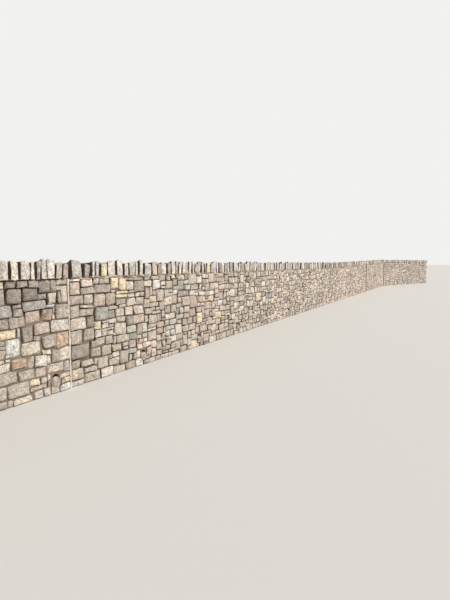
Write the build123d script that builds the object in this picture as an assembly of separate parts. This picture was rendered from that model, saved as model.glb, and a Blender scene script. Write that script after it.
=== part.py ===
"""A stone-faced retaining wall from ground level up, at real size, in millimetres.

Six bays stand end to end, and the last one turns towards the face side. Each bay is a
reinforced concrete stem with a leaf of rubble stone built against it, under a coping of
stones set on edge in mortar. Weep pipes drain the soil side through stem and leaf. A
compressible board and a sealant bead close each movement joint below the coping.

Frame: +X runs along the straight wall from its left end, -Y is the stone face and +Z is
up. The origin is on the underside, in the middle of the thickness, half-way along the
straight run. In a bay's own frame u runs along the bay from its first joint, v runs from
face to back with 0 in the middle of the thickness, and z is up.
"""
import math
import os
import random

from build123d import *

# Bays and plan
BAY_COUNT = 6
BAY_LENGTH = 6650
BENT_BAY = 6
BEND_ANGLE = 20

# Wall section
WALL_HEIGHT = 1285
FACING_THICKNESS = 175
STEM_THICKNESS = 275
RETURN_THICKNESS = 175

# Climb of the top in each climbing bay, which follows the ground behind
CLIMB_FIRST_BAY = 4
CLIMB_LAST_BAY = 5
CLIMB_HEIGHT = 100

# Movement joints
JOINT_WIDTH = 25
SEALANT_DEPTH = 15
SEALANT_RECESS = 5

# Weep pipes
WEEP_DIAMETER = 110
WEEP_WALL = 3.2
WEEP_HEIGHT = 170
WEEP_PITCH = 1600
WEEP_FIRST = 1631
WEEP_JOINT_CLEAR = 200
WEEP_MOUTH_RECESS = 10
WEEP_FIT = 0.3
WEEP_SIDES = 16

# Coping stones on edge
COPING_HEIGHT = 190
COPING_HEIGHT_SPREAD = 26
COPING_TOP_OFFSET = 11
COPING_STONE_WIDTH = 99
COPING_WIDTH_SPREAD = 44
COPING_WIDTH_MODE = -0.3
COPING_LEAN = 7
COPING_STONE_GAP = 20
COPING_OVERHANG = 20
COPING_FACE_SPREAD = 8
COPING_JOINT_GAP = 50
COPING_END_OVERHANG = 25
COPING_SEED = 41

# Stones measured on each side of one joint, from left to right: each stone's pitch, and how
# far the left and right corners of its top stand off the usual height
MEASURED_JOINT = 1
STONES_BEFORE_JOINT = [
    (115, 8, -13), (120, 4, -12), (130, -2, -2), (70, -12, -12), (60, -1, 4),
    (90, 31, 21), (105, 32, 16), (105, -39, -5), (75, -39, -28),
]
STONES_AFTER_JOINT = [
    (195, 30, 13), (110, -14, -46), (90, 8, 3), (90, 9, 5), (140, -22, -22), (160, 16, 26),
    (135, 30, 18), (110, -22, -22), (135, -8, 6), (95, 13, 13), (120, 34, 35), (175, -7, -43),
    (140, 0, 8), (95, -36, -21), (150, 4, -36), (115, -24, -24), (115, 18, 18),
]

# Mortar that holds the coping
BED_THICKNESS = 12
MORTAR_RECESS = 24
MORTAR_TOP_DROP = 62

THICKNESS = FACING_THICKNESS + STEM_THICKNESS
FACE = -THICKNESS / 2
BACK = THICKNESS / 2
LEAF_BACK = FACE + FACING_THICKNESS
STRAIGHT_RUN = (BENT_BAY - 1) * BAY_LENGTH
CUT_REACH = 4 * THICKNESS


class Bay:
    """One length of wall between two joints, in its own frame."""

    def __init__(self, number):
        self.number = number
        self.is_first = number == 1
        self.is_last = number == BAY_COUNT
        self.start_skew = math.tan(math.radians(BEND_ANGLE / 2)) if number == BENT_BAY else 0
        self.end_skew = math.tan(math.radians(BEND_ANGLE / 2)) if number == BENT_BAY - 1 else 0
        self.rise = climb_at(number - 1)
        self.slope = (climb_at(number) - self.rise) / BAY_LENGTH

    def place(self):
        """The bay's position and heading in the wall's frame."""
        bays_past_bend = self.number - BENT_BAY
        if bays_past_bend < 0:
            return Location(((self.number - 1) * BAY_LENGTH - STRAIGHT_RUN / 2, 0, 0))
        heading = -math.radians(BEND_ANGLE)
        beyond = bays_past_bend * BAY_LENGTH
        corner = (STRAIGHT_RUN / 2 + beyond * math.cos(heading), beyond * math.sin(heading), 0)
        return Location(corner, (0, 0, -BEND_ANGLE))

    def start(self, v, gap, inset=0):
        """Where the bay begins at depth v, half a gap from the joint's middle plane."""
        if self.is_first:
            return inset
        return gap / 2 * math.hypot(1, self.start_skew) - v * self.start_skew

    def end(self, v, gap, inset=0):
        """Where the bay ends at depth v, half a gap from the joint's middle plane."""
        if self.is_last:
            return BAY_LENGTH - inset
        return BAY_LENGTH - gap / 2 * math.hypot(1, self.end_skew) + v * self.end_skew

    def top(self, u):
        """Height of the masonry under the coping at u."""
        return WALL_HEIGHT + self.rise + self.slope * u

    def top_plane(self):
        """The plane of the masonry's top."""
        return Plane(origin=(0, 0, self.top(0)), z_dir=(-self.slope, 0, 1))


def climb_at(joint):
    """Rise of the top at a joint, counted from the wall's left end as joint 0."""
    climbing = min(max(joint - CLIMB_FIRST_BAY + 1, 0), CLIMB_LAST_BAY - CLIMB_FIRST_BAY + 1)
    return climbing * CLIMB_HEIGHT


def upright_block(bay, plan_points):
    """A block on the given plan, cut off along the top of the masonry."""
    block = extrude(make_face(Polyline(*plan_points, close=True)), WALL_HEIGHT + bay.rise + CUT_REACH)
    return split(block, bisect_by=bay.top_plane(), keep=Keep.BOTTOM)


def leaf(bay, front, back, start_inset=0, end_inset=0):
    """One leaf of the wall's thickness over the bay's length."""
    return upright_block(bay, [
        (bay.start(front, JOINT_WIDTH, start_inset), front),
        (bay.end(front, JOINT_WIDTH, end_inset), front),
        (bay.end(back, JOINT_WIDTH, end_inset), back),
        (bay.start(back, JOINT_WIDTH, start_inset), back),
    ])


def weep_places(bay):
    """Distances along the bay of its weep pipes, at one pitch along the whole wall."""
    bay_start = (bay.number - 1) * BAY_LENGTH
    count = int((BAY_COUNT * BAY_LENGTH - WEEP_FIRST) / WEEP_PITCH) + 1
    runs = [WEEP_FIRST + WEEP_PITCH * i - bay_start for i in range(count)]
    return [u for u in runs if WEEP_JOINT_CLEAR <= u <= BAY_LENGTH - WEEP_JOINT_CLEAR]


def cross_rod(u, front, back, radius):
    """A rod across the wall at the weep pipes' height, with flats enough to pass for round."""
    axis = Plane(origin=(u, front, WEEP_HEIGHT), x_dir=(1, 0, 0), z_dir=(0, 1, 0))
    return axis * extrude(RegularPolygon(radius, WEEP_SIDES), back - front)


def pierced(bay, block, front, back):
    """The block with a hole for each weep pipe of the bay."""
    radius = WEEP_DIAMETER / 2 + WEEP_FIT
    return block - [cross_rod(u, front, back, radius) for u in weep_places(bay)]


def backing_wall(bay):
    """The reinforced concrete stem, short of a stone return at a free end of the wall."""
    stem = leaf(bay, LEAF_BACK, BACK, RETURN_THICKNESS, RETURN_THICKNESS)
    return pierced(bay, stem, LEAF_BACK, BACK)


def stone_facing(bay):
    """The leaf of rubble stone, solid against the stem."""
    return pierced(bay, leaf(bay, FACE, LEAF_BACK), FACE, LEAF_BACK)


def weep_pipes(bay):
    """Open pipes through stem and leaf, cut off just inside the stone face."""
    front = FACE + WEEP_MOUTH_RECESS
    bore = WEEP_DIAMETER / 2 - WEEP_WALL
    return [
        cross_rod(u, front, BACK, WEEP_DIAMETER / 2) - cross_rod(u, front, BACK, bore)
        for u in weep_places(bay)
    ]


def joint_strip(bay, front, back):
    """What fills the joint at the end of the bay between two depths."""
    return upright_block(bay, [
        (bay.end(front, JOINT_WIDTH), front),
        (bay.end(front, -JOINT_WIDTH), front),
        (bay.end(back, -JOINT_WIDTH), back),
        (bay.end(back, JOINT_WIDTH), back),
    ])


def joint_sealant(bay):
    """The sealant bead, a little behind the stone face."""
    front = FACE + SEALANT_RECESS
    return joint_strip(bay, front, front + SEALANT_DEPTH)


def joint_filler(bay):
    """The compressible board behind the sealant, to the back of the stem."""
    return joint_strip(bay, FACE + SEALANT_RECESS + SEALANT_DEPTH, BACK)


def end_return(bay, start, end):
    """A stone leaf that closes the end of the stem."""
    return upright_block(bay, [(start, LEAF_BACK), (end, LEAF_BACK), (end, BACK), (start, BACK)])


def upright_slice(bay, base, tip, foot, heights, front, back):
    """A four-sided profile in the wall's elevation, carried from front to back."""
    feet = [bay.top(u) + foot for u in base]
    profile = Polyline(
        (base[0], front, feet[0]),
        (base[1], front, feet[1]),
        (tip[1], front, feet[1] + heights[1]),
        (tip[0], front, feet[0] + heights[0]),
        close=True,
    )
    return extrude(make_face(profile), amount=back - front, dir=(0, 1, 0))


def random_stones(length, dice):
    """Stones of random width and top that fill a length of coping exactly."""
    stones = []
    filled = 0
    while filled < length:
        width = COPING_STONE_WIDTH + COPING_WIDTH_SPREAD * dice.triangular(-1, 1, COPING_WIDTH_MODE)
        pitch = width + COPING_STONE_GAP
        lift = dice.uniform(-1, 1) * COPING_HEIGHT_SPREAD
        slant = dice.uniform(-1, 1) * COPING_TOP_OFFSET
        stones.append((pitch, lift - slant, lift + slant))
        filled += pitch
    return [(pitch * length / filled, left, right) for pitch, left, right in stones]


def coping_row(bay, length, reach, dice):
    """The bay's stones in order. A stone that a skewed joint cuts is wider by the skew."""
    usual = COPING_STONE_WIDTH + COPING_STONE_GAP
    lead = [(usual + 2 * reach * bay.start_skew, 0, 0)]
    tail = [(usual + 2 * reach * bay.end_skew, 0, 0)]
    if bay.number == MEASURED_JOINT:
        tail = STONES_BEFORE_JOINT
    if bay.number == MEASURED_JOINT + 1:
        lead = STONES_AFTER_JOINT
    placed = sum(pitch for pitch, _, _ in lead + tail)
    return lead + random_stones(length - placed, dice) + tail


def coping(bay):
    """The bay's coping: stones on edge, fused with the mortar that beds and backs them."""
    dice = random.Random(COPING_SEED + bay.number)
    front, back = FACE - COPING_OVERHANG, BACK + COPING_OVERHANG
    reach = back + COPING_FACE_SPREAD
    start = min(bay.start(v, COPING_JOINT_GAP, -COPING_END_OVERHANG) for v in (-reach, reach))
    end = max(bay.end(v, COPING_JOINT_GAP, -COPING_END_OVERHANG) for v in (-reach, reach))
    row = coping_row(bay, end - start, reach, dice)

    stones = []
    line, lean = start, 0
    for i, (pitch, left_lift, right_lift) in enumerate(row):
        is_last = i == len(row) - 1
        left = line + (COPING_STONE_GAP / 2 if i > 0 else 0)
        right = line + pitch - (0 if is_last else COPING_STONE_GAP / 2)
        next_lean = 0 if is_last else dice.uniform(-COPING_LEAN, COPING_LEAN)
        face = front + dice.uniform(-1, 1) * COPING_FACE_SPREAD
        tip = (left + lean, right + next_lean)
        heights = (COPING_HEIGHT + left_lift, COPING_HEIGHT + right_lift)
        stones.append(upright_slice(bay, (left, right), tip, BED_THICKNESS, heights, face, back))
        line, lean = line + pitch, next_lean

    ends = (start + MORTAR_RECESS, end - MORTAR_RECESS)
    mortar_top = BED_THICKNESS + COPING_HEIGHT - MORTAR_TOP_DROP
    mortar = upright_slice(bay, ends, ends, 0, (mortar_top, mortar_top), front + MORTAR_RECESS, back)
    return mitred(bay, mortar + stones)


def mitred(bay, run):
    """The coping run, cut back to the skewed joint planes at a bend."""
    half_turn = math.radians(BEND_ANGLE / 2)
    across, along = math.cos(half_turn), math.sin(half_turn)
    if bay.start_skew:
        joint = Plane(origin=(bay.start(0, COPING_JOINT_GAP), 0, 0), z_dir=(across, along, 0))
        run = split(run, bisect_by=joint, keep=Keep.TOP)
    if bay.end_skew:
        joint = Plane(origin=(bay.end(0, COPING_JOINT_GAP), 0, 0), z_dir=(across, -along, 0))
        run = split(run, bisect_by=joint, keep=Keep.BOTTOM)
    return run


def write(name, bay, shapes):
    """Place a bay's piece in the wall's frame and write it as one node."""
    solids = [solid for shape in shapes for solid in shape.solids()]
    placed = [solid.moved(bay.place()) for solid in solids]
    export_step(placed[0] if len(placed) == 1 else Compound(placed), f"parts/{name}.step")


def main():
    """Write every piece of every bay."""
    os.makedirs("parts", exist_ok=True)
    for number in range(1, BAY_COUNT + 1):
        bay = Bay(number)
        write(f"backing_wall_{number}", bay, [backing_wall(bay)])
        write(f"stone_facing_{number}", bay, [stone_facing(bay)])
        write(f"coping_{number}", bay, [coping(bay)])
        write(f"weep_pipes_{number}", bay, weep_pipes(bay))
        if not bay.is_last:
            write(f"joint_sealant_{number}", bay, [joint_sealant(bay)])
            write(f"joint_filler_{number}", bay, [joint_filler(bay)])
    left, right = Bay(1), Bay(BAY_COUNT)
    write("end_return_left", left, [end_return(left, 0, RETURN_THICKNESS)])
    right_start = BAY_LENGTH - RETURN_THICKNESS
    write("end_return_right", right, [end_return(right, right_start, BAY_LENGTH)])


main()
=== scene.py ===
# %% [markdown]
# A stone-faced retaining wall. On the real one, six bays of concrete wall stand end to end,
# each with a leaf of squared rubble stone built against its face and a coping of stones set on
# edge in mortar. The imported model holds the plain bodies. These cells lay the single stones,
# the mortar, the pipes and the joint beads in front of it, and give every surface its finish.

import math
import random
from collections import namedtuple

import bpy
import numpy as np
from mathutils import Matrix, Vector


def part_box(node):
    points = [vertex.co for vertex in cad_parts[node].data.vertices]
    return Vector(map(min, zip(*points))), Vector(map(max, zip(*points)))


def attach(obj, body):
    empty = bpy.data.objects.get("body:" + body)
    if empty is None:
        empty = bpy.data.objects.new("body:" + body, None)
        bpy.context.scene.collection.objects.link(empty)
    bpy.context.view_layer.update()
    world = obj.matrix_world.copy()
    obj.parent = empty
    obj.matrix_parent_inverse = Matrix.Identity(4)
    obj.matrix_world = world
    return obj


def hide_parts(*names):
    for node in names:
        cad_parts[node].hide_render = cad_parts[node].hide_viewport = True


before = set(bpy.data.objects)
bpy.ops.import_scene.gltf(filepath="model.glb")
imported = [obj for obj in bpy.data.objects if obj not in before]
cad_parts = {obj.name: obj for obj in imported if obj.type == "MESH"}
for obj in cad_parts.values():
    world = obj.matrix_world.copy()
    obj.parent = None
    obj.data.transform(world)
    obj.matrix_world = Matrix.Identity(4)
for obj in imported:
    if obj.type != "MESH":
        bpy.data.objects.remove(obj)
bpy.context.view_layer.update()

# %% [markdown]
# The camera comes first. It stands in front of the first bay at a person's eye height and looks
# along the stone face. Its place was worked out from the height of the wall, the pitch of the
# weep holes and the bend, so nothing has to be moved once the stones are there.

# %% The camera
CAMERA_PLACE = (-13.709, -4.146, 1.462)
CAMERA_YAW = math.radians(63.0)
CAMERA_DIP = math.radians(4.73)
LENS_MM = 26.65
SENSOR_MM = 36

camera = bpy.data.objects.new("camera", bpy.data.cameras.new("camera"))
camera.data.lens = LENS_MM
camera.data.sensor_width = SENSOR_MM
camera.location = CAMERA_PLACE
camera.rotation_euler = (math.pi / 2 - CAMERA_DIP, 0, -CAMERA_YAW)
bpy.context.scene.collection.objects.link(camera)
bpy.context.scene.camera = camera
print("camera at", CAMERA_PLACE)

# %% [markdown]
# Shader nodes are many, so one small function adds a node, sets it up and fills its sockets.
# A socket of another node is linked and anything else is a plain value. Colours are written
# as the sRGB hex values of a paint chart, and one function turns them to linear light.

# %% Two helpers for every material
def linear(hex_colour):
    """A hex colour as linear RGBA: values under 0.04045 over 12.92, others by the 2.4 power."""
    coded = [int(hex_colour[i:i + 2], 16) / 255 for i in (1, 3, 5)]
    return [c / 12.92 if c < 0.04045 else ((c + 0.055) / 1.055) ** 2.4 for c in coded] + [1.0]


def add(tree, kind, sockets, **settings):
    """Add one shader node with its settings, values and links."""
    made = tree.nodes.new(kind)
    for name, value in settings.items():
        setattr(made, name, value)
    for name, value in sockets.items():
        if isinstance(value, bpy.types.NodeSocket):
            tree.links.new(value, made.inputs[name])
        else:
            made.inputs[name].default_value = value
    return made


# %% [markdown]
# The light is a plain studio: a pale floor, an even pale surround, and one broad lamp high in
# front of the wall and to the right. It falls on the face at a slant, so the joints and the
# left sides of the coping stones are in soft shade. Lamp and surround together light the face
# at about the level at which a colour renders as it is written.

# %% Floor, surround and lamp
FLOOR_REACH = 400
FLOOR_COLOUR = "#D6D2CB"
FLOOR_ROUGHNESS = 0.9
SURROUND_COLOUR = "#F1F1F0"
SURROUND_STRENGTH = 0.50
WHITE = (1, 1, 1, 1)
LAMP_STRENGTH = 2.75
LAMP_BREADTH = math.radians(9)
LAMP_ABOVE = math.radians(40)
LAMP_ROUND = math.radians(34)


def plain_floor():
    """One large square at ground level, outside the object."""
    floor = bpy.data.objects.new("floor", bpy.data.meshes.new("floor"))
    r = FLOOR_REACH
    floor.data.from_pydata([(-r, -r, 0), (r, -r, 0), (r, r, 0), (-r, r, 0)], [], [(0, 1, 2, 3)])
    bpy.context.scene.collection.objects.link(floor)
    finish = bpy.data.materials.new("studio_floor")
    finish.use_nodes = True
    shader = finish.node_tree.nodes["Principled BSDF"]
    shader.inputs["Base Color"].default_value = linear(FLOOR_COLOUR)
    shader.inputs["Roughness"].default_value = FLOOR_ROUGHNESS
    floor.data.materials.append(finish)


def pale_surround():
    """A world that lights softly and shows as a pale backdrop to the camera and in gloss."""
    world = bpy.data.worlds.new("surround")
    world.use_nodes = True
    bpy.context.scene.world = world
    tree = world.node_tree
    tree.nodes.clear()
    path = add(tree, "ShaderNodeLightPath", {})
    seen = add(tree, "ShaderNodeMath", {0: path.outputs["Is Camera Ray"],
                                        1: path.outputs["Is Glossy Ray"]}, operation="MAXIMUM")
    lit = add(tree, "ShaderNodeBackground", {"Color": WHITE, "Strength": SURROUND_STRENGTH})
    shown = add(tree, "ShaderNodeBackground", {"Color": linear(SURROUND_COLOUR), "Strength": 1.0})
    mixed = add(tree, "ShaderNodeMixShader", {0: seen.outputs[0], 1: lit.outputs[0],
                                              2: shown.outputs[0]})
    add(tree, "ShaderNodeOutputWorld", {"Surface": mixed.outputs[0]})


def broad_lamp():
    """A soft key light. It stands LAMP_ROUND round from the wall's front towards its right."""
    lamp = bpy.data.objects.new("key_lamp", bpy.data.lights.new("key_lamp", "SUN"))
    lamp.data.energy = LAMP_STRENGTH
    lamp.data.angle = LAMP_BREADTH
    lamp.rotation_euler = (math.pi / 2 - LAMP_ABOVE, 0, LAMP_ROUND)
    bpy.context.scene.collection.objects.link(lamp)


plain_floor()
pale_surround()
broad_lamp()
bpy.context.scene.view_settings.view_transform = "Standard"
print("floor, surround and lamp are up")

# %% [markdown]
# Every bay is drawn in its own frame: u runs along it from its first joint, v runs from the
# face to the back with 0 in the middle of the thickness, and z is up. One function then puts
# the points into the wall's frame, so that a shape is written once and stands in all six bays.

# %% The wall's main sizes, in metres
BAYS = (1, 2, 3, 4, 5, 6)
BENT_BAY = 6
BAY_LENGTH = 6.650
BEND = math.radians(20)
JOINT_WIDTH = 0.025
WALL_HEIGHT = 1.285
FIRST_CLIMBING_BAY = 4
CLIMBING_BAYS = 2
CLIMB = 0.100
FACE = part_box("stone_facing_1")[0].y
LEAF_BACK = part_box("stone_facing_1")[1].y
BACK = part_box("backing_wall_1")[1].y
LEFT_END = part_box("stone_facing_1")[0].x
BEND_LEAN = math.tan(BEND / 2)


def climb_at(joint):
    """Rise of the wall's top at a joint: nothing, then one step more for each climbing bay."""
    return CLIMB * min(max(joint - FIRST_CLIMBING_BAY + 1, 0), CLIMBING_BAYS)


def top_at(bay, u):
    """Height of the masonry under the coping: a straight line from joint to joint."""
    low, high = climb_at(bay - 1), climb_at(bay)
    return WALL_HEIGHT + low + (high - low) * u / BAY_LENGTH


def bay_start(bay, v, gap, inset=0.0):
    """u of the bay's first end. At a joint that is half the gap past the joint's plane, which
    leans at the bend, and at the free end it is the inset."""
    lean = BEND_LEAN if bay == BENT_BAY else 0
    return inset + 0 * v if bay == BAYS[0] else gap / 2 * math.hypot(1, lean) - v * lean


def bay_end(bay, v, gap, inset=0.0):
    """u of the bay's last end, found in the same way from the bay's length."""
    lean = BEND_LEAN if bay == BENT_BAY - 1 else 0
    beyond = -inset + 0 * v if bay == BAYS[-1] else v * lean - gap / 2 * math.hypot(1, lean)
    return BAY_LENGTH + beyond


def placed(bay, u, v, z):
    """Bay points in the wall's frame: turned by the bend if past it, then moved to the joint."""
    turn = -BEND if bay == BENT_BAY else 0
    x = LEFT_END + (bay - 1) * BAY_LENGTH + u * math.cos(turn) - v * math.sin(turn)
    y = u * math.sin(turn) + v * math.cos(turn)
    return np.stack(np.broadcast_arrays(x, y, z), axis=-1)


print("six bays of", BAY_LENGTH, "m, from x =", round(LEFT_END, 3))

# %% [markdown]
# Every shape here is a patch: its points, its faces as rows of point numbers, which finish it
# takes, and two values for each point that the materials read. "tint" is the stone's own
# colour, and "rim" runs from 0 in the middle of a stone's face to 1 at its edge, where mortar
# smears it, and on to 2 deep in the joint, where it carries painted shade. Joining patches in
# one go keeps a bay of hundreds of stones a single quick mesh.

# %% Patches, and how they become a piece
Patch = namedtuple("Patch", "points faces finish tint rim")
SHARP_ANGLE = math.radians(50)


def patch(points, faces, finish=0, tint=(1.0, 1.0, 1.0), rim=0.0):
    """A patch from points of any grid shape, with tint and rim spread over all of them."""
    count = points[..., 0].size
    tints = np.broadcast_to(np.asarray(tint, float), points.shape).reshape(count, 3)
    rims = np.broadcast_to(np.asarray(rim, float), points.shape[:-1]).reshape(count)
    return Patch(points.reshape(count, 3), faces, finish, tints, rims)


def make_piece(name, patches, finishes, slot, *nodes):
    """Join patches into one object at the origin that rides with the wall."""
    starts = np.cumsum([0] + [len(p.points) for p in patches])
    faces, finish_of = [], []
    for p, start in zip(patches, starts):
        for rows in p.faces:
            faces += (rows + start).tolist()
            finish_of += [p.finish] * len(rows)
    mesh = bpy.data.meshes.new(name)
    mesh.from_pydata(np.concatenate([p.points for p in patches]).tolist(), [], faces)
    mesh.polygons.foreach_set("material_index", finish_of)
    tints = np.concatenate([p.tint for p in patches])
    colours = np.column_stack([tints, np.ones(len(tints))]).ravel()
    mesh.attributes.new("tint", "FLOAT_COLOR", "POINT").data.foreach_set("color", colours)
    rims = np.concatenate([p.rim for p in patches])
    mesh.attributes.new("rim", "FLOAT", "POINT").data.foreach_set("value", rims)
    mesh.shade_smooth()
    mesh.set_sharp_from_angle(angle=SHARP_ANGLE)
    for finish in finishes:
        mesh.materials.append(finish)
    piece = bpy.data.objects.new(name, mesh)
    bpy.context.scene.collection.objects.link(piece)
    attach(piece, "root")
    if nodes:
        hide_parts(*nodes)
    triangles = sum(len(face) - 2 for face in faces)
    print(name, "has", len(faces), "faces,", triangles, "triangles")


# %% [markdown]
# Two patterns of faces serve nearly every shape. A sheet is a grid of points, closed or open
# along either side. A solid of rings is a closed form: a point, a row of rings and a point,
# like the lines of latitude on a globe, so that it has no open seam and no stray edge.

# %% Face patterns
def sheet_faces(rows, columns, close_rows=False, close_columns=False):
    """Quads of a grid of points. They face the viewer who sees columns run right and rows up."""
    ids = np.arange(rows * columns).reshape(rows, columns)
    ids = np.concatenate([ids, ids[:1]]) if close_rows else ids
    ids = np.concatenate([ids, ids[:, :1]], axis=1) if close_columns else ids
    corners = (ids[:-1, :-1], ids[:-1, 1:], ids[1:, 1:], ids[1:, :-1])
    return np.stack([c.ravel() for c in corners], axis=1)


def ring_faces(rings, sides):
    """Quads and end triangles for pole, rings, pole, numbered in that order."""
    ids = 1 + np.arange(rings * sides).reshape(rings, sides)
    after = np.roll(ids, -1, axis=1)
    corners = (ids[:-1], ids[1:], after[1:], after[:-1])
    quads = np.stack([c.ravel() for c in corners], axis=1)
    first = np.stack([np.zeros(sides, int), ids[0], after[0]], axis=1)
    last = np.stack([np.full(sides, 1 + rings * sides), after[-1], ids[-1]], axis=1)
    return [quads, np.concatenate([first, last])]


def repeated(faces, copies, points_each):
    """The same faces for many copies of a shape: each copy's numbers start further on."""
    shift = np.arange(copies)[:, None, None] * points_each
    return (faces[None] + shift).reshape(-1, faces.shape[1])


# %% [markdown]
# Nothing on a rubble wall is straight. A sum of slow sine waves gives a smooth wander that is
# the same on both sides of a joint, because it is a function of the place alone. It moves the
# beds and the upright joints, and it raises and sinks the mortar.

# %% Slow wander
WAVES = 4
SHORT_TO_LONG = (0.6, 1.5)
USUAL_PEAK = 2.4


def wander(s, z, wavelength, seed):
    """Sum of four sine waves in random directions over places s and z, each a little shorter
    or longer than the wavelength, divided by their usual peak, which gives about -1 to 1."""
    dice = np.random.default_rng(seed)
    total = 0
    for _ in range(WAVES):
        heading, phase = dice.uniform(0, 2 * math.pi, 2)
        length = wavelength * dice.uniform(*SHORT_TO_LONG)
        along = s * math.cos(heading) + z * math.sin(heading)
        total = total + np.sin(2 * math.pi * along / length + phase)
    return total / USUAL_PEAK


# %% [markdown]
# The rubble is laid as a mason lays it, from the bottom up. The elevation is ruled in units
# of 14 mm, and the sizes below are counts of them. At the lowest free place, and the leftmost
# of those, goes a stone of one of a few kinds, cut to the room that is there. It never leaves
# a sliver beside it, and where its top would make a tiny step with a neighbour's, it is cut
# level with it. A narrow stone stands upright, but none is much taller than it is wide.
# Stones that are set in place beforehand, and the weep pipes, are simply units that are no
# longer free. A few rounds of growing then close the chinks that no stone fits into.

# %% Laying the rubble
UNIT = 0.014
STONE_KINDS = [
    # share, widths in units, heights in units
    (0.20, (13, 18), (8, 12)),
    (0.40, (9, 14), (7, 10)),
    (0.17, (9, 16), (3, 5)),
    (0.23, (6, 9), (4, 7)),
]
NARROWEST, SHORTEST = 3, 3
ROOM_TO_LEAVE = 7
WIDEST = 21
UPRIGHT_UNDER = 7
STEEPEST = 1.6
CHINK_ROUNDS = 4
LEFT, LOW, RIGHT, HIGH = range(4)


def run_of(flags):
    """How many flags at the start are set."""
    unset = np.flatnonzero(~flags)
    return int(unset[0]) if len(unset) else len(flags)


def cut_width(free, row, column, widths, dice):
    """A random width, unless the room left beside it would be too narrow for a stone."""
    run = run_of(free[row, column:])
    width = min(dice.randint(*widths), run)
    if run - width >= ROOM_TO_LEAVE:
        return width
    return run if run <= WIDEST else run // 2


def cut_height(free, row, column, width, heights, dice):
    """A random height, held to the room above and made level with a neighbour's top."""
    rise = run_of(free[row:, column:column + width].all(axis=1))
    height = min(dice.randint(*heights), math.ceil(STEEPEST * width))
    if width < UPRIGHT_UNDER:
        height = max(height, width)
    for beside in (column - 1, column + width):
        top = run_of(~free[row:, beside]) if 0 <= beside < free.shape[1] else 0
        if top >= SHORTEST and abs(top - height) < SHORTEST:
            height = top
    return rise if rise - height < SHORTEST else height


def lay_rubble(free, dice):
    """Stones as [left, low, right, high] in units, and a map of the chinks too small for one."""
    free, chinks, stones = free.copy(), np.zeros_like(free), []
    kinds, shares = [kind[1:] for kind in STONE_KINDS], [kind[0] for kind in STONE_KINDS]
    for row in range(free.shape[0]):
        for column in range(free.shape[1]):
            if not free[row, column]:
                continue
            widths, heights = dice.choices(kinds, shares)[0]
            width = cut_width(free, row, column, widths, dice)
            height = cut_height(free, row, column, width, heights, dice)
            if width < NARROWEST or height < SHORTEST:
                chinks[row, column], free[row, column] = True, False
                continue
            free[row:row + height, column:column + width] = False
            stones.append([column, row, column + width, row + height])
    return stones, chinks


def close_chinks(stones, chinks, dice):
    """Each stone grows over a strip of chinks that lies all along one of its sides."""
    order = list(range(len(stones)))
    for _ in range(CHINK_ROUNDS):
        dice.shuffle(order)
        for i in order:
            left, low, right, high = stones[i]
            height, width = slice(low, high), slice(left, right)
            strips = {LEFT: (height, slice(max(left - 1, 0), left)),
                      RIGHT: (height, slice(right, right + 1)),
                      LOW: (slice(max(low - 1, 0), low), width),
                      HIGH: (slice(high, high + 1), width)}
            for side, strip in strips.items():
                if chinks[strip].size and chinks[strip].all():
                    chinks[strip] = False
                    stones[i][side] += 1 if side in (RIGHT, HIGH) else -1
                    break
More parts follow.
